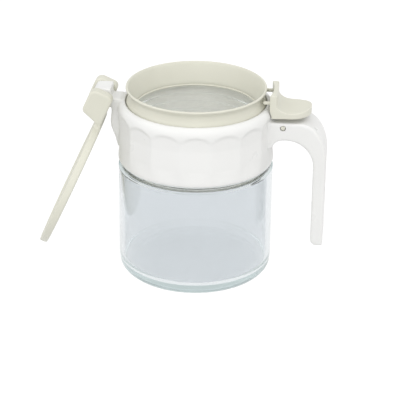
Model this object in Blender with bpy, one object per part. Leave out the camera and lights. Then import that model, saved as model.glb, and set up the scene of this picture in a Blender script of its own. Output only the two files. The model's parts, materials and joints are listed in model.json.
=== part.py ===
"""A spice jar with a screw collar, a flip-up lid and a thumb lever on the handle.

Metres, +Z up. The jar's axis is Z and it stands on z = 0. The handle is on +X and the
lid's hinge on -X. The lid is flipped right open, as it hangs at rest.
"""

import math

import bmesh
import bpy

# Glass jar
GLASS_R = 0.0425
HEEL_R = 0.0055
GLASS_WALL = 0.0028
FLOOR_TOP = 0.0048
FLOOR_CORNER = 0.0050
SHOULDER_Z = 0.0608
SHOULDER_ROUND = 0.0006
GROOVE_R = 0.0411
GROOVE_Z = (0.0618, 0.0622)
BEAD_R = 0.0417
BEAD_Z = (0.0626, 0.0645)
BEAD_TOP = 0.0649
NECK_R = 0.0379
NECK_BORE_R = 0.0348
NECK_TOP = 0.0925
NECK_BEVEL = 0.0008

# Cream ring round the mouth, flared like a funnel
LIP_R = 0.0382
LIP_TOP = 0.1065
LIP_BEAD = 0.0008
WAIST_R = 0.0364
WAIST_Z = 0.1028
RING_R = 0.0380
RING_BOTTOM = 0.0929
THROAT_R = 0.0333
THROAT_Z = 0.0940

# White screw collar with sixteen flat panels
COLLAR_R = 0.0425
COLLAR_BORE_R = 0.0384
COLLAR_BOTTOM = 0.0652
COLLAR_TOP = 0.0986
DOME_START = 0.0934
PANELS = 16
PANEL_TURN = math.radians(-84.0)
PANEL_FADE_LOW = 0.0672
PANEL_FADE_HIGH = 0.0740
PANEL_ARCH = 0.0032
PANEL_STEP = 0.0012
PANEL_DIP = 0.0005

# Handle, one moulding with the collar
HANDLE_DEPTH = 0.0220
ARM_ROOT_X = 0.0402
ARM_TOP = 0.0913
OUTER_BEND = (0.0570, 0.0700)
OUTER_SPAN = (0.0146, 0.0219)
INNER_BEND = (0.0500, 0.0660)
INNER_SPAN = (0.0148, 0.0152)
ROOT_FILLET = 0.0057
GRIP_BOTTOM = 0.0193
GRIP_CORNER = 0.0034

# Hinge: bracket and knuckle on the collar, two ears on the lid
HINGE_X = -0.0534
HINGE_Z = 0.1010
BRACKET_TOP = 0.0989
KNUCKLE_R = 0.0035
KNUCKLE_END_R = 0.0022
KNUCKLE_WIDTH = 0.0123
BLOCK_WIDTH = 0.0260
EAR_GAP = 0.0003
STUD_R = 0.0011
STUD_REACH = 0.0040
OPEN_ANGLE = math.radians(245.5)

# Lid
LID_R = 0.0403
LID_UNDER = 0.1068
LID_THICK = 0.0042
LID_EDGE = 0.0012
LID_HOLLOW_R = 0.0388
LID_HOLLOW_TOP = 0.1078
SEAL_R = 0.0362
SEAL_BORE_R = 0.0346
TONGUE_TOP = 0.0090
TONGUE_END = 0.0060

# Thumb lever and its pin
PIVOT_X = 0.0479
PIVOT_Z = 0.0885
PIN_R = 0.0013
RUNNING_GAP = 0.0003
LEVER_WIDTH = 0.0226
LEVER_INNER_R = 0.0420
LEVER_BOTTOM = 0.0937
LEVER_TOP = 0.1071
LEVER_END_X = 0.0626
LEVER_END_R = 0.0110
PLATE_OUTER_X = 0.0442
PAD_BEND = (0.0515, 0.1020)
PAD_BEND_SPAN = (0.0073, 0.0048)
PAD_SWEEP = (0.0530, 0.1272)
PAD_SWEEP_R = 0.0300
LEG_WIDTH = 0.0080
LEG_HALF = 0.0034
LEG_SLOT = (-0.0042, 0.0046)
LEG_SLOT_FLOOR = 0.0838
PEG_R = 0.0010
PEG_LENGTH = 0.0060
PEG_Y = 0.0094
PEG_Z = 0.1022
PEG_TIP_X = 0.0368

# Sides of the turned pieces, of the collar and of pins and bores
FINE = 64
COLLAR_STEPS = 80
PIN_STEPS = 20


def clear_scene():
    for obj in list(bpy.data.objects):
        bpy.data.objects.remove(obj, do_unlink=True)


def finish(name, color, roughness, see_through=0.0):
    mat = bpy.data.materials.new(name)
    mat.use_nodes = True
    shader = mat.node_tree.nodes["Principled BSDF"]
    shader.inputs["Base Color"].default_value = (*color, 1.0)
    shader.inputs["Roughness"].default_value = roughness
    shader.inputs["Metallic"].default_value = 0.0
    shader.inputs["Transmission Weight"].default_value = see_through
    return mat


def arc(center, span, start, end, steps):
    """Points of an elliptical arc in degrees, both ends included."""
    points = []
    for k in range(steps + 1):
        a = math.radians(start + (end - start) * k / steps)
        points.append((center[0] + span[0] * math.cos(a), center[1] + span[1] * math.sin(a)))
    return points


def add_object(name, mesh, mat):
    obj = bpy.data.objects.new(name, mesh)
    bpy.context.scene.collection.objects.link(obj)
    if mat is not None:
        mesh.materials.clear()
        mesh.materials.append(mat)
    return obj


def mesh_from(bm, name):
    bmesh.ops.recalc_face_normals(bm, faces=bm.faces)
    mesh = bpy.data.meshes.new(name)
    bm.to_mesh(mesh)
    bm.free()
    return mesh


def turned(name, rows, steps, radius=None):
    """A closed outline of (radius, height) points, turned about Z.

    A point on the axis becomes one vertex. radius(r, z, angle) may reshape the rings.
    """
    bm = bmesh.new()
    rings = []
    for r, z in rows:
        if r == 0.0:
            rings.append([bm.verts.new((0.0, 0.0, z))])
            continue
        ring = []
        for k in range(steps):
            angle = 2 * math.pi * k / steps
            rr = radius(r, z, angle) if radius else r
            ring.append(bm.verts.new((rr * math.cos(angle), rr * math.sin(angle), z)))
        rings.append(ring)
    closed = rows[0][0] != 0.0
    pairs = list(zip(rings, rings[1:])) + ([(rings[-1], rings[0])] if closed else [])
    for low, high in pairs:
        for k in range(steps):
            n = (k + 1) % steps
            corners = []
            for vert in (low[k % len(low)], low[n % len(low)], high[n % len(high)], high[k % len(high)]):
                if vert not in corners:
                    corners.append(vert)
            if len(corners) > 2:
                bm.faces.new(corners)
    return mesh_from(bm, name)


def extruded(name, outline, y_low, y_high):
    """An outline of (x, z) points, extruded along Y."""
    bm = bmesh.new()
    front = bm.faces.new([bm.verts.new((x, y_low, z)) for x, z in outline])
    result = bmesh.ops.extrude_face_region(bm, geom=[front])
    moved = [v for v in result["geom"] if isinstance(v, bmesh.types.BMVert)]
    bmesh.ops.translate(bm, verts=moved, vec=(0.0, y_high - y_low, 0.0))
    return mesh_from(bm, name)


def raised(name, outline, z_low, z_high):
    """An outline of (x, y) points, extruded along Z."""
    bm = bmesh.new()
    floor = bm.faces.new([bm.verts.new((x, y, z_low)) for x, y in outline])
    result = bmesh.ops.extrude_face_region(bm, geom=[floor])
    moved = [v for v in result["geom"] if isinstance(v, bmesh.types.BMVert)]
    bmesh.ops.translate(bm, verts=moved, vec=(0.0, 0.0, z_high - z_low))
    return mesh_from(bm, name)


def combine(obj, mesh, operation):
    """Applies one exact Boolean with a mesh in the object's own place."""
    tool = add_object("tool", mesh, None)
    modifier = obj.modifiers.new("combine", "BOOLEAN")
    modifier.operation = operation
    modifier.solver = "EXACT"
    modifier.object = tool
    bpy.context.view_layer.update()
    graph = bpy.context.evaluated_depsgraph_get()
    result = bpy.data.meshes.new_from_object(obj.evaluated_get(graph))
    obj.modifiers.clear()
    mat = obj.data.materials[0]
    obj.data = result
    result.materials.clear()
    result.materials.append(mat)
    bpy.data.objects.remove(tool, do_unlink=True)


def shade(obj, degrees):
    obj.data.shade_smooth()
    obj.data.set_sharp_from_angle(angle=math.radians(degrees))


def round_rod(center, r, y_low, y_high):
    """A rod along Y, with its centre at (x, z)."""
    last = 360 - 360 / PIN_STEPS
    return extruded("rod", arc(center, (r, r), 0, last, PIN_STEPS - 1), y_low, y_high)


def jar_glass(mat):
    """Thick-bottomed glass with a rounded heel, a soft shoulder and a plain neck."""
    inner_r = GLASS_R - GLASS_WALL
    inner_shoulder_z = SHOULDER_Z - 0.0010
    rows = [(0.0, 0.0)]
    rows += arc((GLASS_R - HEEL_R, HEEL_R), (HEEL_R, HEEL_R), -90, 0, 5)
    edge = (GLASS_R - SHOULDER_ROUND, SHOULDER_Z)
    rows += arc(edge, (SHOULDER_ROUND, SHOULDER_ROUND), 0, 70, 2)
    rows += [(GROOVE_R, GROOVE_Z[0]), (GROOVE_R, GROOVE_Z[1]), (BEAD_R, BEAD_Z[0]), (BEAD_R, BEAD_Z[1])]
    rows += [(BEAD_R - 0.0005, BEAD_TOP), (NECK_R, BEAD_TOP)]
    rows += [(NECK_R, NECK_TOP - NECK_BEVEL), (NECK_R - NECK_BEVEL, NECK_TOP)]
    rows += [(NECK_BORE_R + NECK_BEVEL, NECK_TOP), (NECK_BORE_R, NECK_TOP - NECK_BEVEL)]
    rows += [(NECK_BORE_R, SHOULDER_Z + 0.0030)]
    rows += arc((NECK_BORE_R, inner_shoulder_z), (inner_r - NECK_BORE_R, 0.0032), 80, 0, 3)
    corner = (inner_r - FLOOR_CORNER, FLOOR_TOP + FLOOR_CORNER)
    rows += arc(corner, (FLOOR_CORNER, FLOOR_CORNER), 0, -90, 4)
    rows += [(0.0, FLOOR_TOP)]
    obj = add_object("jar_glass", turned("jar_glass", rows, FINE), mat)
    shade(obj, 40)
    return obj


def mouth_ring(mat):
    """Funnel ring: a beaded lip, a waisted outside and a throat inside the neck."""
    bead = (LIP_R - LIP_BEAD, LIP_TOP - LIP_BEAD)
    rows = [(THROAT_R, RING_BOTTOM), (RING_R, RING_BOTTOM), (RING_R, COLLAR_TOP - 0.0012)]
    rows += [(RING_R - 0.0005, COLLAR_TOP), (WAIST_R + 0.0004, COLLAR_TOP + 0.0018), (WAIST_R, WAIST_Z)]
    rows += [(WAIST_R + 0.0006, WAIST_Z + 0.0014), (LIP_R - 0.0005, LIP_TOP - 0.0014)]
    rows += arc(bead, (LIP_BEAD, LIP_BEAD), 0, 135, 3)
    rise = LIP_TOP - LIP_BEAD - THROAT_Z
    spread = LIP_R - 2 * LIP_BEAD - THROAT_R
    for part in (0.85, 0.55, 0.25):
        bow = 0.0005 * part * (1 - part)
        rows.append((THROAT_R + spread * part - bow, THROAT_Z + rise * part))
    rows += [(THROAT_R, THROAT_Z)]
    obj = add_object("mouth_ring", turned("mouth_ring", rows, FINE), mat)
    shade(obj, 35)
    return obj


def panel_radius(r, z, angle):
    """Draws the collar's round wall in to sixteen flats with arched tops."""
    if r < COLLAR_BORE_R + 0.0010:
        return r
    pitch = 2 * math.pi / PANELS
    off = (angle - PANEL_TURN + pitch / 2) % pitch - pitch / 2
    top = DOME_START + 0.0004 - PANEL_ARCH * (off / (pitch / 2)) ** 2
    high = min(1.0, max(0.0, (top - z) / PANEL_STEP))
    low = min(1.0, max(0.0, (z - PANEL_FADE_LOW) / (PANEL_FADE_HIGH - PANEL_FADE_LOW)))
    dip = PANEL_DIP * max(0.0, 1.0 - abs(z - 0.0850) / 0.0100)
    flat = (COLLAR_R * math.cos(pitch / 2) - dip) / math.cos(off)
    return r + (min(r, flat) - r) * high * low


def collar_shell():
    """The round wall of the collar, domed in to the mouth ring at the top."""
    rows = [(COLLAR_BORE_R, COLLAR_BOTTOM), (COLLAR_R - 0.0005, COLLAR_BOTTOM)]
    rows += [(COLLAR_R, COLLAR_BOTTOM + 0.0006)]
    for z in (0.0672, 0.0700, 0.0740, 0.0780, 0.0820, 0.0850, 0.0880, 0.0896, 0.0910, 0.0922):
        rows.append((COLLAR_R, z))
    rows += arc((COLLAR_BORE_R, DOME_START), (COLLAR_R - COLLAR_BORE_R, COLLAR_TOP - DOME_START), 0, 90, 6)
    return turned("collar", rows, COLLAR_STEPS, panel_radius)


def handle_outline():
    """Side view of the drop handle: an arm that bends down into the grip."""
    outer_x = OUTER_BEND[0] + OUTER_SPAN[0]
    inner_x = INNER_BEND[0] + INNER_SPAN[0]
    under = INNER_BEND[1] + INNER_SPAN[1]
    points = [(ARM_ROOT_X, ARM_TOP)]
    points += arc(OUTER_BEND, OUTER_SPAN, 90, 0, 10)
    points += [(outer_x - 0.0003, GRIP_BOTTOM + 0.0006), (outer_x - 0.0009, GRIP_BOTTOM)]
    corner = (inner_x + GRIP_CORNER, GRIP_BOTTOM + GRIP_CORNER)
    points += arc(corner, (GRIP_CORNER, GRIP_CORNER), 270, 180, 4)
    points += arc(INNER_BEND, INNER_SPAN, 0, 90, 8)
    fillet_x = ARM_ROOT_X + 0.0022 + ROOT_FILLET
    points += arc((fillet_x, under - ROOT_FILLET), (ROOT_FILLET, ROOT_FILLET), 90, 170, 4)
    points += [(ARM_ROOT_X, under - ROOT_FILLET)]
    return points


def bracket_outline():
    """Side view of the tab below the hinge, swelling out and back into the collar."""
    return [
        (-0.0400, BRACKET_TOP), (-0.0400, 0.0710), (-0.0424, 0.0716), (-0.0437, 0.0768),
        (-0.0450, 0.0800), (-0.0460, 0.0830), (-0.0462, 0.0860), (-0.0458, 0.0895),
        (-0.0455, 0.0930), (-0.0470, BRACKET_TOP - 0.0020), (-0.0470, BRACKET_TOP),
    ]


def knuckle_outline():
    """Side view of the knuckle: a block with a blunt round end about the hinge axis."""
    ends = arc((HINGE_X, HINGE_Z), (KNUCKLE_END_R, KNUCKLE_R), 90, 260, 10)
    return [(-0.0459, COLLAR_TOP - 0.0050), (-0.0459, HINGE_Z + KNUCKLE_R)] + ends + [(-0.0480, 0.0945)]


def collar(mat):
    obj = add_object("collar", collar_shell(), mat)
    half = HANDLE_DEPTH / 2
    combine(obj, extruded("handle", handle_outline(), -half, half), "UNION")
    half = KNUCKLE_WIDTH / 2
    combine(obj, extruded("bracket", bracket_outline(), -half, half), "UNION")
    combine(obj, extruded("knuckle", knuckle_outline(), -half + 0.00002, half - 0.00002), "UNION")
    bore = round_rod((HINGE_X, HINGE_Z), STUD_R + RUNNING_GAP, -KNUCKLE_WIDTH, KNUCKLE_WIDTH)
    combine(obj, bore, "DIFFERENCE")
    low_x, high_x = (PIVOT_X + reach for reach in LEG_SLOT)
    slot = [(low_x, LEG_SLOT_FLOOR), (high_x, LEG_SLOT_FLOOR), (high_x, COLLAR_TOP), (low_x, COLLAR_TOP)]
    slot_half = LEG_WIDTH / 2 + RUNNING_GAP
    combine(obj, extruded("slot", slot, -slot_half, slot_half), "DIFFERENCE")
    hole = round_rod((PIVOT_X, PIVOT_Z), PIN_R + RUNNING_GAP, -HANDLE_DEPTH, HANDLE_DEPTH)
    combine(obj, hole, "DIFFERENCE")
    shade(obj, 30)
    return obj


def lid_disc():
    """The lid's plate, hollowed below inside its rim, with a low sealing ring in the hollow."""
    top = LID_UNDER + LID_THICK
    rows = [(0.0, top), (LID_R - LID_EDGE, top)]
    rows += [(LID_R - 0.0003, top - 0.0005), (LID_R, top - LID_EDGE), (LID_R, LID_UNDER + 0.0004)]
    rows += [(LID_R - 0.0004, LID_UNDER), (LID_HOLLOW_R, LID_UNDER), (LID_HOLLOW_R, LID_HOLLOW_TOP)]
    rows += [(SEAL_R, LID_HOLLOW_TOP), (SEAL_R, LID_UNDER), (SEAL_BORE_R, LID_UNDER)]
    rows += [(SEAL_BORE_R, LID_HOLLOW_TOP), (0.0, LID_HOLLOW_TOP)]
    return turned("lid", rows, FINE)


def ear_outline():
    """Side view of an ear, with the lid closed."""
    points = [(8.4, -3.9), (9.9, -2.8), (13.0, 6.4), (13.0, 8.8)]
    points = [(x * 0.001, z * 0.001) for x, z in points]
    points += arc((-0.0014, 0.0060), (0.0030, 0.0030), 90, 180, 4)
    points += arc((-0.0005, 0.0), (0.0039, 0.0039), 180, 270, 5)
    return [(HINGE_X + x, HINGE_Z + z) for x, z in points]


def lid(mat):
    """Modelled closed, then turned about the hinge to hang open."""
    obj = add_object("lid", lid_disc(), mat)
    half = BLOCK_WIDTH / 2
    inner = KNUCKLE_WIDTH / 2 + EAR_GAP
    tongue_x = HINGE_X + TONGUE_END
    tongue = [(tongue_x, -half), (-0.0380, -half), (-0.0380, half), (tongue_x, half)]
    combine(obj, raised("tongue", tongue, LID_UNDER + 0.00003, HINGE_Z + TONGUE_TOP - 0.00005), "UNION")
    for side in (-1, 1):
        low, high = sorted((side * inner, side * (half - 0.00003)))
        combine(obj, extruded("ear", ear_outline(), low, high), "UNION")
        low, high = sorted((side * (inner - STUD_REACH), side * (inner + 0.0010)))
        combine(obj, round_rod((HINGE_X, HINGE_Z), STUD_R, low, high), "UNION")
    hinge = (HINGE_X, 0.0, HINGE_Z)
    for vert in obj.data.vertices:
        vert.co = [vert.co[k] - hinge[k] for k in range(3)]
    obj.location = hinge
    obj.rotation_euler = (0.0, -OPEN_ANGLE, 0.0)
    shade(obj, 35)
    return obj


def lever_outline():
    """Side view of the lever: a dished pad behind an upright plate."""
    points = [(0.0395, LEVER_BOTTOM), (LEVER_END_X + 0.0010, LEVER_BOTTOM + 0.0006)]
    points += [(LEVER_END_X + 0.0010, 0.0983)]
    points += arc(PAD_SWEEP, (PAD_SWEEP_R, PAD_SWEEP_R), -72, -88, 4)
    points += arc(PAD_BEND, PAD_BEND_SPAN, 270, 180, 8)
    points += [(PLATE_OUTER_X, LEVER_TOP - 0.0010), (PLATE_OUTER_X - 0.0008, LEVER_TOP)]
    points += [(0.0395, LEVER_TOP)]
    return points


def lever_plan():
    """Top view of the lever: straight sides and a rounded free end."""
    half = LEVER_WIDTH / 2
    end = (LEVER_END_X - LEVER_END_R, half - LEVER_END_R)
    points = [(0.0390, -half)]
    points += arc((end[0], -end[1]), (LEVER_END_R, LEVER_END_R), -90, 0, 7)
    points += arc(end, (LEVER_END_R, LEVER_END_R), 0, 90, 7)
    points += [(0.0390, half)]
    return points


def leg_outline():
    """Side view of the leg, rounded about the pivot pin."""
    points = [(PIVOT_X + LEG_HALF, LEVER_BOTTOM + 0.0010), (PIVOT_X - LEG_HALF, LEVER_BOTTOM + 0.0010)]
    return points + arc((PIVOT_X, PIVOT_Z), (LEG_HALF, LEG_HALF), 180, 360, 8)


def lever(mat):
    half = LEVER_WIDTH / 2
    obj = add_object("lever", extruded("lever", lever_outline(), -half - 0.0010, half + 0.0010), mat)
    combine(obj, raised("plan", lever_plan(), 0.0850, 0.1150), "INTERSECT")
    foot_r = COLLAR_R + 0.0004
    rows = [(0.0, 0.0800), (foot_r, 0.0800), (foot_r, DOME_START + 0.0016), (LEVER_INNER_R, 0.0980)]
    rows += [(LEVER_INNER_R, 0.1200), (0.0, 0.1200)]
    combine(obj, turned("mouth_side", rows, 96), "DIFFERENCE")
    combine(obj, extruded("leg", leg_outline(), -LEG_WIDTH / 2, LEG_WIDTH / 2), "UNION")
    bore = round_rod((PIVOT_X, PIVOT_Z), PIN_R + RUNNING_GAP, -LEG_WIDTH, LEG_WIDTH)
    combine(obj, bore, "DIFFERENCE")
    for side in (-1, 1):
        tip = [(0.0, 0.0), (PEG_R * 0.8, 0.0), (PEG_R, 0.0004)]
        peg = turned("peg", tip + [(PEG_R, PEG_LENGTH), (0.0, PEG_LENGTH)], 12)
        for vert in peg.vertices:
            x, y, z = vert.co
            vert.co = (PEG_TIP_X + z, side * PEG_Y + y, PEG_Z - x)
        combine(obj, peg, "UNION")
    pivot = (PIVOT_X, 0.0, PIVOT_Z)
    for vert in obj.data.vertices:
        vert.co = [vert.co[k] - pivot[k] for k in range(3)]
    obj.location = pivot
    shade(obj, 35)
    return obj


def lever_pin(mat):
    half = HANDLE_DEPTH / 2 - 0.0002
    obj = add_object("lever_pin", round_rod((PIVOT_X, PIVOT_Z), PIN_R, -half, half), mat)
    shade(obj, 40)
    return obj


def main():
    clear_scene()
    glass = finish("clear_glass", (0.80, 0.85, 0.86), 0.05, 1.0)
    white = finish("white_plastic", (0.86, 0.86, 0.84), 0.35)
    cream = finish("cream_plastic", (0.73, 0.71, 0.62), 0.40)
    jar_glass(glass)
    mouth_ring(cream)
    collar(white)
    lid(cream)
    lever(cream)
    lever_pin(cream)


main()
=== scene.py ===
"""Looks of an empty flip-top spice jar: clear glass, a white screw collar with its handle,
and a cream mouth ring, lid and thumb lever. Metres, +Z up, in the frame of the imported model."""

import json
import math

import bmesh
import bpy
from mathutils import Matrix, Vector


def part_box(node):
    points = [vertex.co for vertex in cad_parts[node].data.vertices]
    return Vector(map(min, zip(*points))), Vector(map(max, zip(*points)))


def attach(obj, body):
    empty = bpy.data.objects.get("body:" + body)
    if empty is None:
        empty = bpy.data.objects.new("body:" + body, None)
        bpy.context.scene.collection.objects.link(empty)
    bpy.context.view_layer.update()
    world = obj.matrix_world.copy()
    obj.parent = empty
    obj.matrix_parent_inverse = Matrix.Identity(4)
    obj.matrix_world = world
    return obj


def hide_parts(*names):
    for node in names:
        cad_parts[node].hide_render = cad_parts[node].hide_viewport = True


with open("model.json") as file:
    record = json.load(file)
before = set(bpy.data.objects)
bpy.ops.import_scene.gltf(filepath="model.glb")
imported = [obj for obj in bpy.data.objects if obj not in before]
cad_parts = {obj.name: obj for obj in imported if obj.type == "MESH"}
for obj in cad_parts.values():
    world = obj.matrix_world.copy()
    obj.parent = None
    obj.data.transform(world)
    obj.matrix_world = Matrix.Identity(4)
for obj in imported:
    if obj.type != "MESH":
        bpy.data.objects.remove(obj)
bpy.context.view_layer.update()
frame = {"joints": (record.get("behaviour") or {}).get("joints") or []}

# Camera, pale floor and studio light. A long lens looks down a little on the jar. The floor glows
# like a light table, more to the eye than on what stands on it. A dome of white cards, brightest
# in front, and two large soft lights leave hardly a shadow.
CAMERA_TURN = math.radians(6.0)
CAMERA_RISE = math.radians(24.7)
CAMERA_DISTANCE = 0.900
CAMERA_HEART = Vector((0.0, 0.0, 0.055))
CAMERA_AIM = Vector((0.00257, 0.0, 0.03820))
CAMERA_ROLL = math.radians(0.585)
LENS_MM = 146.5

away = Vector((
    math.sin(CAMERA_TURN) * math.cos(CAMERA_RISE),
    -math.cos(CAMERA_TURN) * math.cos(CAMERA_RISE),
    math.sin(CAMERA_RISE),
))
lens = bpy.data.cameras.new("camera")
lens.lens = LENS_MM
lens.sensor_width = 36.0
lens.clip_start = 0.01
lens.clip_end = 50.0
camera = bpy.data.objects.new("camera", lens)
bpy.context.scene.collection.objects.link(camera)
camera.location = CAMERA_HEART + away * CAMERA_DISTANCE
gaze = (CAMERA_AIM - camera.location).to_track_quat("-Z", "Y").to_matrix().to_4x4()
camera.matrix_world = Matrix.Translation(camera.location) @ gaze @ Matrix.Rotation(CAMERA_ROLL, 4, "Z")
bpy.context.scene.camera = camera
bpy.context.scene.view_settings.view_transform = "Standard"


def deselect():
    """Leaves edit mode and selects nothing, before a new piece is begun."""
    if bpy.context.object and bpy.context.object.mode != "OBJECT":
        bpy.ops.object.mode_set(mode="OBJECT")
    bpy.ops.object.select_all(action="DESELECT")


FLOOR_SIZE = 12.0
FLOOR_GLOW = 0.86
FLOOR_BOUNCE = 0.46
deselect()
bpy.ops.mesh.primitive_plane_add(size=FLOOR_SIZE, location=(0.0, 0.0, -0.0002))
floor = bpy.context.object
floor.name = "floor"
floor_paint = bpy.data.materials.new("floor_paper")
floor_paint.use_nodes = True
paper = floor_paint.node_tree.nodes["Principled BSDF"]
paper.inputs["Base Color"].default_value = (0.18, 0.18, 0.18, 1.0)
paper.inputs["Roughness"].default_value = 0.9
paper.inputs["Emission Color"].default_value = (1.0, 1.0, 1.0, 1.0)
paper_path = floor_paint.node_tree.nodes.new("ShaderNodeLightPath")
paper_glow = floor_paint.node_tree.nodes.new("ShaderNodeMapRange")
paper_glow.inputs["To Min"].default_value = FLOOR_GLOW
paper_glow.inputs["To Max"].default_value = FLOOR_BOUNCE
floor_paint.node_tree.links.new(paper_path.outputs["Is Diffuse Ray"], paper_glow.inputs["Value"])
floor_paint.node_tree.links.new(paper_glow.outputs["Result"], paper.inputs["Emission Strength"])
floor.data.materials.append(floor_paint)

LIGHT_AIM = (0.0, 0.0, 0.05)
BRIGHT_SIDE = (0.00, -0.86, 0.50)
CARDS_CAST = (0.40, 1.40)
CARDS_SHOWN = (0.66, 0.98)
sky = bpy.data.worlds.new("white_cards")
sky.use_nodes = True
bpy.context.scene.world = sky
sky_nodes, sky_links = sky.node_tree.nodes, sky.node_tree.links
sky_way = sky_nodes.new("ShaderNodeTexCoord")
sky_side = sky_nodes.new("ShaderNodeVectorMath")
sky_side.operation = "DOT_PRODUCT"
sky_side.inputs[1].default_value = BRIGHT_SIDE
sky_path = sky_nodes.new("ShaderNodeLightPath")
sky_cast = sky_nodes.new("ShaderNodeMapRange")
sky_shown = sky_nodes.new("ShaderNodeMapRange")
for sky_part, (dim, bright) in ((sky_cast, CARDS_CAST), (sky_shown, CARDS_SHOWN)):
    sky_part.inputs["From Min"].default_value = -1.0
    sky_part.inputs["To Min"].default_value = dim
    sky_part.inputs["To Max"].default_value = bright
    sky_links.new(sky_side.outputs["Value"], sky_part.inputs["Value"])
sky_mix = sky_nodes.new("ShaderNodeMix")
sky_links.new(sky_path.outputs["Is Diffuse Ray"], sky_mix.inputs["Factor"])
sky_links.new(sky_shown.outputs["Result"], sky_mix.inputs["A"])
sky_links.new(sky_cast.outputs["Result"], sky_mix.inputs["B"])
sky_links.new(sky_way.outputs["Generated"], sky_side.inputs[0])
sky_links.new(sky_mix.outputs["Result"], sky_nodes["Background"].inputs["Strength"])
sky_nodes["Background"].inputs["Color"].default_value = (1.0, 1.0, 1.0, 1.0)


def soft_light(name, place, width, power):
    """A square white light that faces the jar and leaves no bright patch in its gloss."""
    card = bpy.data.lights.new(name, "AREA")
    card.shape = "SQUARE"
    card.size = width
    card.energy = power
    lamp = bpy.data.objects.new(name, card)
    bpy.context.scene.collection.objects.link(lamp)
    lamp.location = place
    lamp.rotation_euler = (Vector(LIGHT_AIM) - Vector(place)).to_track_quat("-Z", "Y").to_euler()
    lamp.visible_glossy = False


soft_light("overhead_card", (0.12, -0.30, 1.58), 1.4, 2.1)
soft_light("front_card", (0.08, -1.70, 0.90), 1.2, 2.6)


# Glass jar. Pressed clear glass with a thick floor, a rounded heel with a shallow step, a soft
# shoulder and a threaded neck that the collar screws onto. The body's grey is partly the glass's own
# faint tint and partly painted shade; more painted shade darkens it where it is seen edge-on, and
# the neck's lighter, warm tint is painted light and a painted cream reflection.
GLASS_STEPS = 160
_, glass_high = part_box("jar_glass")
GLASS_R = glass_high.x
HEEL_R = 0.0055
GLASS_WALL = 0.0028
FLOOR_TOP = 0.0048
FLOOR_CORNER = 0.0050
FLOOR_CROWN = 0.0006
PUNT_R = 0.0350
PUNT_DEEP = 0.0010
STEP_Z = 0.0074
STEP_DEEP = 0.00030
SHOULDER_Z = 0.0608
SHOULDER_ROUND = 0.0006
GROOVE_R = 0.0411
GROOVE_Z = (0.0618, 0.0622)
BEAD_R = 0.0417
BEAD_Z = (0.0626, 0.0645)
BEAD_TOP = 0.0649
NECK_R = 0.0379
NECK_BORE_R = 0.0348
NECK_TOP = glass_high.z
THREAD_DEEP = 0.0006
THREAD_PITCH = 0.0046
BORE_WAVE = 0.00006


def arc(center, span, start, end, steps):
    """Points of an elliptical arc in degrees, both ends included."""
    turns = [math.radians(start + (end - start) * k / steps) for k in range(steps + 1)]
    return [(center[0] + span[0] * math.cos(a), center[1] + span[1] * math.sin(a)) for a in turns]


def straight(start, end, steps):
    """Points of a straight run, without its two ends."""
    shares = [k / steps for k in range(1, steps)]
    return [tuple(a + (b - a) * s for a, b in zip(start, end)) for s in shares]


def draw_line(name, points, closed):
    """Draws a line of points in the XZ plane, one extruded edge after another."""
    deselect()
    bpy.ops.mesh.primitive_plane_add(size=0.002, location=(0.0, 0.0, 0.0))
    piece = bpy.context.object
    piece.name = name
    piece.data.name = name
    bpy.ops.object.mode_set(mode="EDIT")
    bpy.ops.mesh.select_all(action="SELECT")
    bpy.ops.mesh.merge(type="CENTER")
    place = Vector((points[0][0], 0.0, points[0][1]))
    bpy.ops.transform.translate(value=place)
    for x, z in points[1:]:
        step = Vector((x, 0.0, z)) - place
        bpy.ops.mesh.extrude_region_move(TRANSFORM_OT_translate={"value": step})
        place += step
    bpy.ops.mesh.select_all(action="SELECT")
    if closed:
        bpy.ops.mesh.edge_face_add()
    return piece


def spin_body(name, points, steps, closed):
    """Turns a profile of (radius, height) points right round the jar's axis."""
    piece = draw_line(name, points, False)
    if closed:
        bm = bmesh.from_edit_mesh(piece.data)
        ends = [v for v in bm.verts if len(v.link_edges) == 1]
        bm.edges.new(ends)
        bmesh.update_edit_mesh(piece.data)
    bpy.ops.mesh.select_all(action="SELECT")
    bpy.ops.mesh.spin(steps=steps, angle=2 * math.pi, center=(0, 0, 0), axis=(0, 0, 1))
    bpy.ops.mesh.select_all(action="SELECT")
    bpy.ops.mesh.remove_doubles(threshold=0.000002)
    bpy.ops.mesh.normals_make_consistent(inside=False)
    bpy.ops.object.mode_set(mode="OBJECT")
    return piece


inner_r = GLASS_R - GLASS_WALL
step_r = GLASS_R - STEP_DEEP
glass_line = [(PUNT_R * k / 16, PUNT_DEEP * (1 - (k / 16) ** 2) ** 2) for k in range(16)]
glass_line += [(PUNT_R, 0.0)]
glass_line += arc((step_r - HEEL_R, HEEL_R), (HEEL_R, HEEL_R), -90, 0, 16)
glass_line += [(step_r, STEP_Z - 0.0008), (step_r + 0.0001, STEP_Z - 0.0003)]
glass_line += [(GLASS_R - 0.0001, STEP_Z + 0.0002), (GLASS_R, STEP_Z + 0.0006)]
glass_line += straight((GLASS_R, STEP_Z + 0.0006), (GLASS_R, SHOULDER_Z), 24)
glass_line += arc((GLASS_R - SHOULDER_ROUND, SHOULDER_Z), (SHOULDER_ROUND, SHOULDER_ROUND), 0, 72, 6)
glass_line += [(GROOVE_R + 0.0001, GROOVE_Z[0] - 0.0002), (GROOVE_R, GROOVE_Z[0]), (GROOVE_R, GROOVE_Z[1])]
glass_line += [(GROOVE_R + 0.0002, GROOVE_Z[1] + 0.0002), (BEAD_R - 0.0001, BEAD_Z[0])]
glass_line += [(BEAD_R, BEAD_Z[0] + 0.0003), (BEAD_R, BEAD_Z[1])]
glass_line += arc((BEAD_R - 0.0004, BEAD_TOP - 0.0004), (0.0004, 0.0004), 0, 90, 4)
neck_foot = BEAD_TOP + 0.0008
glass_line += [(NECK_R + 0.0006, BEAD_TOP), (NECK_R, neck_foot)]
glass_line += straight((NECK_R, neck_foot), (NECK_R, NECK_TOP - 0.0010), 48) + [(NECK_R, NECK_TOP - 0.0010)]
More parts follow.
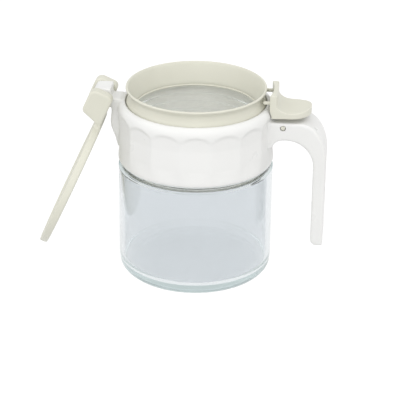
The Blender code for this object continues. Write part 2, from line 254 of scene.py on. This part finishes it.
glass_line += arc((NECK_R - 0.0010, NECK_TOP - 0.0010), (0.0010, 0.0010), 18, 90, 4)
glass_line += arc((NECK_BORE_R + 0.0010, NECK_TOP - 0.0010), (0.0010, 0.0010), 90, 180, 5)
glass_line += straight((NECK_BORE_R, NECK_TOP - 0.0010), (NECK_BORE_R, SHOULDER_Z + 0.0030), 44)
bend = (NECK_BORE_R, SHOULDER_Z - 0.0010)
glass_line += arc(bend, (inner_r - NECK_BORE_R, 0.0032), 84, 0, 12)
glass_line += straight((inner_r, bend[1]), (inner_r, FLOOR_TOP + FLOOR_CORNER), 24)
floor_r = inner_r - FLOOR_CORNER
glass_line += arc((floor_r, FLOOR_TOP + FLOOR_CORNER), (FLOOR_CORNER, FLOOR_CORNER), 0, -90, 14)
for r, z in straight((floor_r, FLOOR_TOP), (0.0, FLOOR_TOP), 14):
    glass_line.append((r, z + FLOOR_CROWN * (1 - (r / floor_r) ** 2)))
glass_line += [(0.0, FLOOR_TOP + FLOOR_CROWN)]
jar = spin_body("jar_glass_body", glass_line, GLASS_STEPS, False)


def swell(z, low, high):
    """1 along a stretch of height, easing to 0 within its end eighths."""
    share = (z - low) / (high - low)
    if not 0.0 < share < 1.0:
        return 0.0
    edge = min(share, 1.0 - share) * 8.0
    return 1.0 if edge >= 1.0 else edge * edge * (3.0 - 2.0 * edge)


for vert in jar.data.vertices:
    x, y, z = vert.co
    r = math.hypot(x, y)
    angle = math.atan2(y, x)
    turn = (z / THREAD_PITCH - angle / (2 * math.pi)) % 1.0
    if z > neck_foot and r > NECK_R - 0.0002:
        groove = THREAD_DEEP * swell(z, neck_foot, NECK_TOP - 0.0010)
        groove *= 0.5 + 0.5 * math.cos(2 * math.pi * turn)
        vert.co.x, vert.co.y = x * (r - groove) / r, y * (r - groove) / r
    elif z > SHOULDER_Z + 0.0028 and r < NECK_BORE_R + 0.0002:
        wave = BORE_WAVE * swell(z, SHOULDER_Z + 0.0028, NECK_TOP - 0.0010) * math.cos(2 * math.pi * turn)
        vert.co.x, vert.co.y = x * (r + wave) / r, y * (r + wave) / r
bpy.ops.object.shade_smooth()

# Painted shade: the body's grey is partly the glass's own faint tint and partly painted shade of dim
# surroundings seen through it.
BODY_TINT_AND_SHADE = (0.790, 0.812, 0.832, 1.0)
# Painted light: the neck's lighter, warm tint is painted light and a painted cream reflection inside the
# mouth.
NECK_PAINTED_WARM_LIGHT = (1.0, 0.995, 0.935, 1.0)
# Painted shade: the glass is made darker where it is seen edge-on, a painted darker reflection of the
# surroundings.
EDGE_PAINTED_SHADE = (0.74, 0.76, 0.775, 1.0)
EDGE_FROM, EDGE_FULL = 0.60, 0.88
DEPTH_TINT = (0.80, 0.93, 0.92, 1.0)
DEPTH_DENSITY = 12.0
BOUNCE_LIMIT = 5.5
BODY_TOP_SHARE = BEAD_Z[0] / NECK_TOP
glass = bpy.data.materials.new("clear_glass")
glass.use_nodes = True
glass_nodes, glass_links = glass.node_tree.nodes, glass.node_tree.links
melt = glass_nodes["Principled BSDF"]
melt.inputs["Metallic"].default_value = 0.0
melt.inputs["Transmission Weight"].default_value = 1.0
melt.inputs["IOR"].default_value = 1.50
where = glass_nodes.new("ShaderNodeTexCoord")
height = glass_nodes.new("ShaderNodeSeparateXYZ")
height_tint_and_shade = glass_nodes.new("ShaderNodeValToRGB")
to_share = glass_nodes.new("ShaderNodeMapRange")
to_share.inputs["From Max"].default_value = NECK_TOP
glass_links.new(where.outputs["Object"], height.inputs["Vector"])
glass_links.new(height.outputs["Z"], to_share.inputs["Value"])
glass_links.new(to_share.outputs["Result"], height_tint_and_shade.inputs["Fac"])
edge_on = glass_nodes.new("ShaderNodeLayerWeight")
edge_share = glass_nodes.new("ShaderNodeMapRange")
edge_share.inputs["From Min"].default_value = EDGE_FROM
edge_share.inputs["From Max"].default_value = EDGE_FULL
edge_painted_shade = glass_nodes.new("ShaderNodeMix")
edge_painted_shade.data_type = "RGBA"
edge_painted_shade.blend_type = "MULTIPLY"
edge_painted_shade.inputs["B"].default_value = EDGE_PAINTED_SHADE
glass_links.new(edge_on.outputs["Facing"], edge_share.inputs["Value"])
glass_links.new(edge_share.outputs["Result"], edge_painted_shade.inputs["Factor"])
glass_links.new(height_tint_and_shade.outputs["Color"], edge_painted_shade.inputs["A"])
glass_links.new(edge_painted_shade.outputs["Result"], melt.inputs["Base Color"])
height_tint_and_shade.color_ramp.elements[0].position = BODY_TOP_SHARE
height_tint_and_shade.color_ramp.elements[0].color = BODY_TINT_AND_SHADE
height_tint_and_shade.color_ramp.elements[1].position = BODY_TOP_SHARE + 0.03
height_tint_and_shade.color_ramp.elements[1].color = NECK_PAINTED_WARM_LIGHT
ripple = glass_nodes.new("ShaderNodeTexNoise")
ripple.inputs["Scale"].default_value = 40.0
ripple.inputs["Detail"].default_value = 2.0
ripple_bump = glass_nodes.new("ShaderNodeBump")
ripple_bump.inputs["Strength"].default_value = 0.05
ripple_bump.inputs["Distance"].default_value = 0.0006
glass_links.new(where.outputs["Object"], ripple.inputs["Vector"])
glass_links.new(ripple.outputs["Fac"], ripple_bump.inputs["Height"])
glass_links.new(ripple_bump.outputs["Normal"], melt.inputs["Normal"])
haze = glass_nodes.new("ShaderNodeMapRange")
haze.inputs["To Min"].default_value = 0.0
haze.inputs["To Max"].default_value = 0.03
glass_links.new(ripple.outputs["Fac"], haze.inputs["Value"])
glass_links.new(haze.outputs["Result"], melt.inputs["Roughness"])
# Soft light passes straight through, and so does light that has bounced long enough inside.
passing = glass_nodes.new("ShaderNodeLightPath")
passing_any = glass_nodes.new("ShaderNodeMath")
passing_any.operation = "MAXIMUM"
seen = glass_nodes.new("ShaderNodeMapRange")
seen.inputs["To Min"].default_value = 1.0
seen.inputs["To Max"].default_value = 0.0
glass_links.new(passing.outputs["Is Shadow Ray"], passing_any.inputs[0])
glass_links.new(passing.outputs["Is Diffuse Ray"], passing_any.inputs[1])
late = glass_nodes.new("ShaderNodeMath")
late.operation = "GREATER_THAN"
late.inputs[1].default_value = BOUNCE_LIMIT
spent = glass_nodes.new("ShaderNodeMath")
spent.operation = "MAXIMUM"
glass_links.new(passing.outputs["Ray Depth"], late.inputs[0])
glass_links.new(passing_any.outputs["Value"], spent.inputs[0])
glass_links.new(late.outputs["Value"], spent.inputs[1])
glass_links.new(spent.outputs["Value"], seen.inputs["Value"])
glass_links.new(seen.outputs["Result"], melt.inputs["Alpha"])
depth = glass_nodes.new("ShaderNodeVolumeAbsorption")
depth.inputs["Color"].default_value = DEPTH_TINT
depth.inputs["Density"].default_value = DEPTH_DENSITY
glass_links.new(depth.outputs["Volume"], glass_nodes["Material Output"].inputs["Volume"])


def dress(piece, finish, body, slot, *nodes):
    """Gives a piece its finish and its body, and hides the solids it stands for. The slot is not used."""
    piece.data.materials.clear()
    piece.data.materials.append(finish)
    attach(piece, body)
    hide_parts(*nodes)


dress(jar, glass, "root", "clear_glass", "jar_glass")


# Mouth ring. Cream plastic, pressed into the glass neck, flared like a funnel with a beaded lip
# and a waist on the outside that dips into the collar.
RING_STEPS = 192
ring_low, ring_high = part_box("mouth_ring")
LIP_R = ring_high.x
LIP_TOP = ring_high.z
LIP_BEAD = 0.0007
WAIST_R = 0.0364
WAIST_Z = 0.1028
RING_R = 0.0380
RING_BOTTOM = ring_low.z
THROAT_R = 0.0333
THROAT_Z = 0.0940
collar_low, collar_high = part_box("collar")
COLLAR_TOP = 0.0986

bead = (LIP_R - LIP_BEAD, LIP_TOP - LIP_BEAD)
ring_line = [(THROAT_R + 0.0004, RING_BOTTOM), (RING_R - 0.0004, RING_BOTTOM)]
ring_line += [(RING_R, RING_BOTTOM + 0.0004)]
ring_line += straight(ring_line[-1], (RING_R, COLLAR_TOP - 0.0012), 4) + [(RING_R, COLLAR_TOP - 0.0012)]
ring_line += [(RING_R - 0.0002, COLLAR_TOP - 0.0003), (RING_R - 0.0007, COLLAR_TOP + 0.0005)]
ring_line += [(WAIST_R + 0.0003, COLLAR_TOP + 0.0018), (WAIST_R, COLLAR_TOP + 0.0030), (WAIST_R, WAIST_Z)]
ring_line += [(WAIST_R + 0.0002, WAIST_Z + 0.0007), (WAIST_R + 0.0007, WAIST_Z + 0.0014)]
ring_line += [(LIP_R - 0.0007, LIP_TOP - 0.0016)] + arc(bead, (LIP_BEAD, LIP_BEAD), -35, 140, 9)
ring_rise = LIP_TOP - LIP_BEAD - THROAT_Z
ring_spread = LIP_R - 2 * LIP_BEAD - THROAT_R
for share in [k / 12 for k in range(11, 0, -1)]:
    bow = 0.0006 * share * (1 - share)
    ring_line.append((THROAT_R + ring_spread * share - bow, THROAT_Z + ring_rise * share))
ring_line += arc((THROAT_R + 0.0003, THROAT_Z - 0.0003), (0.0005, 0.0005), 80, 260, 8)
ring_line += [(THROAT_R + 0.0002, RING_BOTTOM + 0.0002)]
ring = spin_body("mouth_ring_body", ring_line, RING_STEPS, True)
bpy.ops.object.shade_smooth_by_angle(angle=math.radians(50))


def moulded_surface():
    """Fine grain, cloudy colour and uneven gloss of moulded plastic, shared by its finishes."""
    group = bpy.data.node_groups.new("moulded_surface", "ShaderNodeTree")
    face = group.interface
    for name, kind, value in (
        ("Color", "NodeSocketColor", (0.8, 0.8, 0.8, 1.0)),
        ("Cloud Color", "NodeSocketColor", (0.7, 0.7, 0.7, 1.0)),
        ("Cloud Scale", "NodeSocketFloat", 30.0),
        ("Grain Scale", "NodeSocketFloat", 900.0),
        ("Grain Depth", "NodeSocketFloat", 0.1),
        ("Roughness Low", "NodeSocketFloat", 0.3),
        ("Roughness High", "NodeSocketFloat", 0.4),
    ):
        face.new_socket(name=name, in_out="INPUT", socket_type=kind).default_value = value
    face.new_socket(name="Color", in_out="OUTPUT", socket_type="NodeSocketColor")
    face.new_socket(name="Roughness", in_out="OUTPUT", socket_type="NodeSocketFloat")
    face.new_socket(name="Normal", in_out="OUTPUT", socket_type="NodeSocketVector")
    nodes, links = group.nodes, group.links
    given, out = nodes.new("NodeGroupInput"), nodes.new("NodeGroupOutput")
    place = nodes.new("ShaderNodeTexCoord")
    cloud = nodes.new("ShaderNodeTexNoise")
    cloud.inputs["Detail"].default_value = 4.0
    grain = nodes.new("ShaderNodeTexNoise")
    grain.inputs["Detail"].default_value = 3.0
    smear = nodes.new("ShaderNodeTexNoise")
    smear.inputs["Scale"].default_value = 75.0
    smear.inputs["Detail"].default_value = 6.0
    for texture in (cloud, grain, smear):
        links.new(place.outputs["Object"], texture.inputs["Vector"])
    links.new(given.outputs["Cloud Scale"], cloud.inputs["Scale"])
    links.new(given.outputs["Grain Scale"], grain.inputs["Scale"])
    mix = nodes.new("ShaderNodeMix")
    mix.data_type = "RGBA"
    spread = nodes.new("ShaderNodeMapRange")
    spread.inputs["From Min"].default_value = 0.35
    spread.inputs["From Max"].default_value = 0.70
    links.new(cloud.outputs["Fac"], spread.inputs["Value"])
    links.new(spread.outputs["Result"], mix.inputs["Factor"])
    links.new(given.outputs["Color"], mix.inputs["A"])
    links.new(given.outputs["Cloud Color"], mix.inputs["B"])
    links.new(mix.outputs["Result"], out.inputs["Color"])
    gloss = nodes.new("ShaderNodeMapRange")
    gloss.inputs["From Min"].default_value = 0.30
    gloss.inputs["From Max"].default_value = 0.70
    links.new(smear.outputs["Fac"], gloss.inputs["Value"])
    links.new(given.outputs["Roughness Low"], gloss.inputs["To Min"])
    links.new(given.outputs["Roughness High"], gloss.inputs["To Max"])
    links.new(gloss.outputs["Result"], out.inputs["Roughness"])
    bump = nodes.new("ShaderNodeBump")
    bump.inputs["Distance"].default_value = 0.0001
    links.new(given.outputs["Grain Depth"], bump.inputs["Strength"])
    links.new(grain.outputs["Fac"], bump.inputs["Height"])
    links.new(bump.outputs["Normal"], out.inputs["Normal"])
    return group


MOULDED = moulded_surface()


def plastic(name, color, cloud_color, roughness, grain_depth):
    """A moulded plastic of its own colour, gloss and grain."""
    finish = bpy.data.materials.new(name)
    finish.use_nodes = True
    nodes, links = finish.node_tree.nodes, finish.node_tree.links
    shader = nodes["Principled BSDF"]
    shader.inputs["Metallic"].default_value = 0.0
    surface = nodes.new("ShaderNodeGroup")
    surface.node_tree = MOULDED
    surface.inputs["Color"].default_value = (*color, 1.0)
    surface.inputs["Cloud Color"].default_value = (*cloud_color, 1.0)
    surface.inputs["Grain Depth"].default_value = grain_depth
    surface.inputs["Roughness Low"].default_value = roughness[0]
    surface.inputs["Roughness High"].default_value = roughness[1]
    links.new(surface.outputs["Color"], shader.inputs["Base Color"])
    links.new(surface.outputs["Roughness"], shader.inputs["Roughness"])
    links.new(surface.outputs["Normal"], shader.inputs["Normal"])
    return finish


cream = plastic("cream_plastic", (0.690, 0.683, 0.590), (0.660, 0.653, 0.560), (0.30, 0.44), 0.12)
dress(ring, cream, "root", "cream_plastic", "mouth_ring")


# Collar with the drop handle and the lid's bracket. One white moulding that screws onto the
# neck: a domed band over sixteen arched flats, run together softly by the mould's fillets.
COLLAR_STEPS = 320
COLLAR_R = collar_high.y
COLLAR_BORE_R = 0.0384
COLLAR_BOTTOM = 0.0652
DOME_START = 0.0934
PANELS = 16
PANEL_TURN = math.radians(-84.0)
PANEL_FADE_LOW = 0.0672
PANEL_FADE_HIGH = 0.0740
PANEL_ARCH = 0.0032
PANEL_STEP = 0.0012
PANEL_DIP = 0.0005
PANEL_DIP_Z = 0.0850
PANEL_DIP_SPAN = 0.0100
HANDLE_HALF = 0.0110
HANDLE_ROUND = 0.0008
ARM_ROOT_X = 0.0402
ARM_TOP = 0.0913
OUTER_BEND = (0.0570, 0.0700)
OUTER_SPAN = (0.0146, 0.0213)
INNER_BEND = (0.0500, 0.0660)
INNER_SPAN = (0.0148, 0.0152)
ROOT_FILLET = 0.0057
GRIP_BOTTOM = collar_low.z
GRIP_CORNER = 0.0034
HINGE = Vector(frame["joints"][0]["pos_m"])
PIVOT = Vector(frame["joints"][1]["pos_m"])
KNUCKLE_R = 0.0035
KNUCKLE_END_R = 0.0022
BRACKET_TOP = 0.0989
KNUCKLE_HALF = 0.00615
PIN_BORE_R = 0.0016
STUD_BORE_R = 0.0014
LEG_SLOT = (-0.0042, 0.0046)
LEG_SLOT_FLOOR = 0.0838
LEG_HALF_WIDTH = 0.0040
COLLAR_VOXEL = 0.00058


def extrude_across(name, outline, half, rounding=0.0, segments=4):
    """A side outline in XZ, extruded to both sides of the jar's middle plane."""
    piece = draw_line(name, outline, True)
    bpy.ops.mesh.select_all(action="SELECT")
    bpy.ops.transform.translate(value=(0.0, -half, 0.0))
    bpy.ops.mesh.extrude_region_move(TRANSFORM_OT_translate={"value": (0.0, 2 * half, 0.0)})
    bpy.ops.mesh.select_all(action="SELECT")
    bpy.ops.mesh.normals_make_consistent(inside=False)
    bpy.ops.object.mode_set(mode="OBJECT")
    if rounding:
        edge = piece.modifiers.new("rounding", "BEVEL")
        edge.width = rounding
        edge.segments = segments
        edge.limit_method = "ANGLE"
        edge.angle_limit = math.radians(40)
        bpy.ops.object.modifier_apply(modifier="rounding")
    return piece


def cut_or_add(piece, tool, operation):
    """Joins a tool body to a piece, or cuts it out, and takes the tool away."""
    deselect()
    bpy.context.view_layer.objects.active = piece
    piece.select_set(True)
    work = piece.modifiers.new("work", "BOOLEAN")
    work.operation = operation
    work.solver = "EXACT"
    work.object = tool
    bpy.ops.object.modifier_apply(modifier="work")
    bpy.data.objects.remove(tool, do_unlink=True)
    piece.select_set(True)


def rod_across(center_x, center_z, radius, half):
    """A plain rod through the jar's sides, for a bore or a stud."""
    return extrude_across("rod", arc((center_x, center_z), (radius, radius), 0, 352.5, 47), half)


def melt_together(piece, others, voxel, rounds):
    """Fuses overlapping closed bodies into one skin and softens where they meet."""
    deselect()
    for other in others:
        other.select_set(True)
    piece.select_set(True)
    bpy.context.view_layer.objects.active = piece
    if others:
        bpy.ops.object.join()
    skin = piece.modifiers.new("skin", "REMESH")
    skin.mode = "VOXEL"
    skin.voxel_size = voxel
    bpy.ops.object.modifier_apply(modifier="skin")
    soft = piece.modifiers.new("soft", "SMOOTH")
    soft.factor = 0.5
    soft.iterations = rounds
    bpy.ops.object.modifier_apply(modifier="soft")
    bpy.ops.object.shade_smooth()


shell_line = [(COLLAR_BORE_R, COLLAR_BOTTOM + 0.0003), (COLLAR_BORE_R + 0.0003, COLLAR_BOTTOM)]
shell_line += [(COLLAR_R - 0.0006, COLLAR_BOTTOM), (COLLAR_R - 0.0002, COLLAR_BOTTOM + 0.0002)]
shell_line += [(COLLAR_R, COLLAR_BOTTOM + 0.0006)]
shell_line += straight(shell_line[-1], (COLLAR_R, DOME_START), 56)
shell_line += arc((COLLAR_BORE_R, DOME_START), (COLLAR_R - COLLAR_BORE_R, COLLAR_TOP - DOME_START), 0, 90, 14)
collar = spin_body("collar_body", shell_line, COLLAR_STEPS, True)
pitch = 2 * math.pi / PANELS
for vert in collar.data.vertices:
    x, y, z = vert.co
    r = math.hypot(x, y)
    if r > COLLAR_BORE_R + 0.0010:
        off = (math.atan2(y, x) - PANEL_TURN + pitch / 2) % pitch - pitch / 2
        crest = DOME_START + 0.0004 - PANEL_ARCH * (off / (pitch / 2)) ** 2
        high = min(1.0, max(0.0, (crest - z) / PANEL_STEP))
        low = min(1.0, max(0.0, (z - PANEL_FADE_LOW) / (PANEL_FADE_HIGH - PANEL_FADE_LOW)))
        dip = PANEL_DIP * max(0.0, 1.0 - abs(z - PANEL_DIP_Z) / PANEL_DIP_SPAN)
        flat = (COLLAR_R * math.cos(pitch / 2) - dip) / math.cos(off)
        pull = (r + (min(r, flat) - r) * high * low) / r
        vert.co.x, vert.co.y = x * pull, y * pull

outer_x = OUTER_BEND[0] + OUTER_SPAN[0]
inner_x = INNER_BEND[0] + INNER_SPAN[0]
under = INNER_BEND[1] + INNER_SPAN[1]
handle_line = [(ARM_ROOT_X, ARM_TOP)] + arc(OUTER_BEND, OUTER_SPAN, 90, 0, 28)
handle_line += [(outer_x, GRIP_BOTTOM + 0.0012)]
handle_line += arc((outer_x - 0.0009, GRIP_BOTTOM + 0.0009), (0.0009, 0.0009), 0, -90, 4)
grip_bend = (inner_x + GRIP_CORNER, GRIP_BOTTOM + GRIP_CORNER)
handle_line += arc(grip_bend, (GRIP_CORNER, GRIP_CORNER), 270, 180, 10)
handle_line += arc(INNER_BEND, INNER_SPAN, 0, 90, 24)
fillet_x = ARM_ROOT_X + 0.0022 + ROOT_FILLET
handle_line += arc((fillet_x, under - ROOT_FILLET), (ROOT_FILLET, ROOT_FILLET), 90, 170, 10)
handle_line += [(ARM_ROOT_X, under - ROOT_FILLET)]
handle = extrude_across("handle", handle_line, HANDLE_HALF, HANDLE_ROUND)
slot_near, slot_far = PIVOT.x + LEG_SLOT[0], PIVOT.x + LEG_SLOT[1]
slot_line = [(slot_near, LEG_SLOT_FLOOR), (slot_far, LEG_SLOT_FLOOR)]
slot_line += [(slot_far, COLLAR_TOP), (slot_near, COLLAR_TOP)]

bracket_line = [
    (-0.0400, BRACKET_TOP), (-0.0400, 0.0710), (-0.0424, 0.0716), (-0.0437, 0.0768),
    (-0.0450, 0.0800), (-0.0460, 0.0830), (-0.0462, 0.0860), (-0.0458, 0.0895),
    (-0.0455, 0.0930), (-0.0470, BRACKET_TOP - 0.0020), (-0.0470, BRACKET_TOP),
]
bracket = extrude_across("bracket", bracket_line, KNUCKLE_HALF, 0.0006)
knuckle_line = [(-0.0459, COLLAR_TOP - 0.0050), (-0.0459, HINGE.z + KNUCKLE_R)]
knuckle_line += arc((HINGE.x, HINGE.z), (KNUCKLE_END_R, KNUCKLE_R), 90, 260, 20) + [(-0.0480, 0.0945)]
knuckle = extrude_across("knuckle", knuckle_line, KNUCKLE_HALF, 0.0005)
melt_together(collar, [handle, bracket, knuckle], COLLAR_VOXEL, 4)
cut_or_add(collar, extrude_across("slot", slot_line, LEG_HALF_WIDTH + 0.0003), "DIFFERENCE")
cut_or_add(collar, rod_across(PIVOT.x, PIVOT.z, PIN_BORE_R, 0.0200), "DIFFERENCE")
cut_or_add(collar, rod_across(HINGE.x, HINGE.z, STUD_BORE_R, 0.0100), "DIFFERENCE")
bpy.ops.object.shade_smooth_by_angle(angle=math.radians(62))

white = plastic("white_plastic", (0.80, 0.80, 0.785), (0.775, 0.775, 0.76), (0.26, 0.40), 0.08)
dress(collar, white, "root", "white_plastic", "collar")


# Lid. A cream disc, hollowed below inside its rim, with a low sealing ring in the hollow. Two
# rounded ears take the knuckle between them. It is modelled shut and then swung back to hang open.
LID_STEPS = 192
LID_UNDER = 0.1068
LID_THICK = 0.0042
LID_R = 0.0403
LID_ROUND = 0.0012
LID_HOLLOW_R = 0.0388
LID_HOLLOW_TOP = 0.1078
SEAL_R = 0.0362
SEAL_BORE_R = 0.0346
EAR_INNER = KNUCKLE_HALF + 0.0003
EAR_OUTER = 0.0130
EAR_ROUND = 0.0008
STUD_R = 0.0011
TONGUE_TOP = 0.0090
TONGUE_START = HINGE.x + 0.0060
LID_VOXEL = 0.00042
OPEN_ANGLE = math.radians(frame["joints"][0]["range_deg"][1])

lid_top = LID_UNDER + LID_THICK
lid_line = [(0.0, lid_top)] + straight((0.0, lid_top), (LID_R - LID_ROUND, lid_top), 10)
lid_line += arc((LID_R - LID_ROUND, lid_top - LID_ROUND), (LID_ROUND, LID_ROUND), 90, 0, 7)
lid_line += arc((LID_R - 0.0004, LID_UNDER + 0.0004), (0.0004, 0.0004), 0, -90, 3)
lid_line += [(LID_HOLLOW_R + 0.0003, LID_UNDER), (LID_HOLLOW_R, LID_UNDER + 0.0003)]
lid_line += [(LID_HOLLOW_R, LID_HOLLOW_TOP)]
lid_line += [(SEAL_R, LID_HOLLOW_TOP), (SEAL_R, LID_UNDER + 0.0003), (SEAL_R - 0.0003, LID_UNDER)]
lid_line += [(SEAL_BORE_R + 0.0003, LID_UNDER), (SEAL_BORE_R, LID_UNDER + 0.0003)]
lid_line += [(SEAL_BORE_R, LID_HOLLOW_TOP), (0.0, LID_HOLLOW_TOP)]
lid = spin_body("lid_body", lid_line, LID_STEPS, False)
ear_line = [(HINGE.x + x, HINGE.z + z) for x, z in (
    (0.0084, -0.0039), (0.0099, -0.0028), (0.0130, 0.0064), (0.0130, 0.0088),
)]
ear_line += arc((HINGE.x - 0.0014, HINGE.z + 0.0060), (0.0030, 0.0030), 90, 180, 10)
ear_line += arc((HINGE.x - 0.0005, HINGE.z), (0.0039, 0.0039), 180, 270, 12)
ears = []
for side in (-1, 1):
    ear = extrude_across("ear", ear_line, (EAR_OUTER - EAR_INNER) / 2, EAR_ROUND)
    ear.data.transform(Matrix.Translation((0.0, side * (EAR_OUTER + EAR_INNER) / 2, 0.0)))
    stud = rod_across(HINGE.x, HINGE.z, STUD_R, 0.0025)
    stud.data.transform(Matrix.Translation((0.0, side * (EAR_INNER - 0.0015), 0.0)))
    ears += [ear, stud]
tongue_line = [
    (TONGUE_START, LID_UNDER), (-0.0380, LID_UNDER), (-0.0380, lid_top - 0.0004),
    (-0.0400, HINGE.z + TONGUE_TOP), (TONGUE_START, HINGE.z + TONGUE_TOP),
]
ears.append(extrude_across("tongue", tongue_line, EAR_OUTER - 0.0003, 0.0003))
melt_together(lid, ears, LID_VOXEL, 3)
hinge_turn = Matrix.Translation(HINGE) @ Matrix.Rotation(-OPEN_ANGLE, 4, "Y") @ Matrix.Translation(-HINGE)
lid.data.transform(hinge_turn)
dress(lid, cream, "lid", "cream_plastic", "lid")


# Thumb lever. Cream plastic: a pad behind an upright plate that hugs the lid's edge, two pegs
# that catch under the lip, and a leg that turns on the pin in the handle's arm.
LEVER_HALF = 0.0113
LEVER_INNER_R = 0.0420
LEVER_BOTTOM = 0.0937
lever_low, lever_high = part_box("lever")
LEVER_TOP = lever_high.z
LEVER_END_X = lever_high.x
LEVER_END_R = 0.0110
PLATE_OUTER_X = 0.0442
PAD_BEND = (0.0515, 0.1020)
PAD_BEND_SPAN = (0.0073, 0.0048)
PAD_SWEEP = (0.0530, 0.1272)
PAD_SWEEP_R = 0.0300
PAD_END_Z = 0.0983
LEG_HALF = 0.0034
PEG_R = 0.0010
PEG_LENGTH = 0.0060
PEG_Y = 0.0094
PEG_Z = 0.1022
PEG_TIP_X = lever_low.x
LEVER_VOXEL = 0.00026

pad_line = [(0.0395, LEVER_BOTTOM), (LEVER_END_X + 0.0010, LEVER_BOTTOM + 0.0006)]
pad_line += [(LEVER_END_X + 0.0010, PAD_END_Z)]
pad_line += arc(PAD_SWEEP, (PAD_SWEEP_R, PAD_SWEEP_R), -72, -88, 10)
pad_line += arc(PAD_BEND, PAD_BEND_SPAN, 270, 180, 20)
pad_line += [(PLATE_OUTER_X, LEVER_TOP - 0.0010)]
pad_line += arc((PLATE_OUTER_X - 0.0009, LEVER_TOP - 0.0009), (0.0009, 0.0009), 0, 90, 5)
pad_line += [(0.0395, LEVER_TOP)]
lever = extrude_across("lever_body", pad_line, LEVER_HALF + 0.0010)
end_round = (LEVER_END_R, LEVER_END_R)
plan_line = [(0.0390, -LEVER_HALF)]
plan_line += arc((LEVER_END_X - LEVER_END_R, LEVER_END_R - LEVER_HALF), end_round, -90, 0, 20)
plan_line += arc((LEVER_END_X - LEVER_END_R, LEVER_HALF - LEVER_END_R), end_round, 0, 90, 20)
plan_line += [(0.0390, LEVER_HALF)]
plan = extrude_across("plan", plan_line, 0.0200)
plan.data.transform(Matrix.Translation((0.0, 0.0, 0.1000)) @ Matrix.Rotation(math.radians(90), 4, "X"))
cut_or_add(lever, plan, "INTERSECT")
foot_r = COLLAR_R + 0.0004
room_line = [(0.0, 0.0800), (foot_r, 0.0800), (foot_r, DOME_START + 0.0016), (LEVER_INNER_R, 0.0980)]
room_line += [(LEVER_INNER_R, 0.1200), (0.0, 0.1200)]
cut_or_add(lever, spin_body("room", room_line, 256, False), "DIFFERENCE")
leg_line = [(PIVOT.x + LEG_HALF, LEVER_BOTTOM + 0.0010), (PIVOT.x - LEG_HALF, LEVER_BOTTOM + 0.0010)]
leg_line += arc((PIVOT.x, PIVOT.z), (LEG_HALF, LEG_HALF), 180, 360, 20)
limbs = [extrude_across("leg", leg_line, LEG_HALF_WIDTH)]
peg_line = [(0.0, 0.0), (PEG_R * 0.7, 0.0), (PEG_R, 0.0003), (PEG_R, PEG_LENGTH), (0.0, PEG_LENGTH)]
for side in (-1, 1):
    peg = spin_body("peg", peg_line, 32, False)
    lay = Matrix.Translation((PEG_TIP_X, side * PEG_Y, PEG_Z)) @ Matrix.Rotation(math.radians(90), 4, "Y")
    peg.data.transform(lay)
    limbs.append(peg)
melt_together(lever, limbs, LEVER_VOXEL, 8)
cut_or_add(lever, rod_across(PIVOT.x, PIVOT.z, PIN_BORE_R, 0.0100), "DIFFERENCE")
dress(lever, cream, "lever", "cream_plastic", "lever")


# Pivot pin. A short cream rod with domed ends, pushed through the arm and flush with its sides.
pin_low, pin_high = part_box("lever_pin")
PIN_R = (pin_high.z - pin_low.z) / 2
PIN_HALF = pin_high.y
pin_line = [(0.0, -PIN_HALF)] + arc((PIN_R - 0.0005, 0.0005 - PIN_HALF), (0.0005, 0.0005), -90, 0, 5)
pin_line += arc((PIN_R - 0.0005, PIN_HALF - 0.0005), (0.0005, 0.0005), 0, 90, 5) + [(0.0, PIN_HALF)]
pin = spin_body("lever_pin_body", pin_line, 48, False)
pin.data.transform(Matrix.Translation(PIVOT) @ Matrix.Rotation(math.radians(90), 4, "X"))
deselect()
pin.select_set(True)
bpy.context.view_layer.objects.active = pin
bpy.ops.object.shade_smooth()
dress(pin, cream, "root", "cream_plastic", "lever_pin")
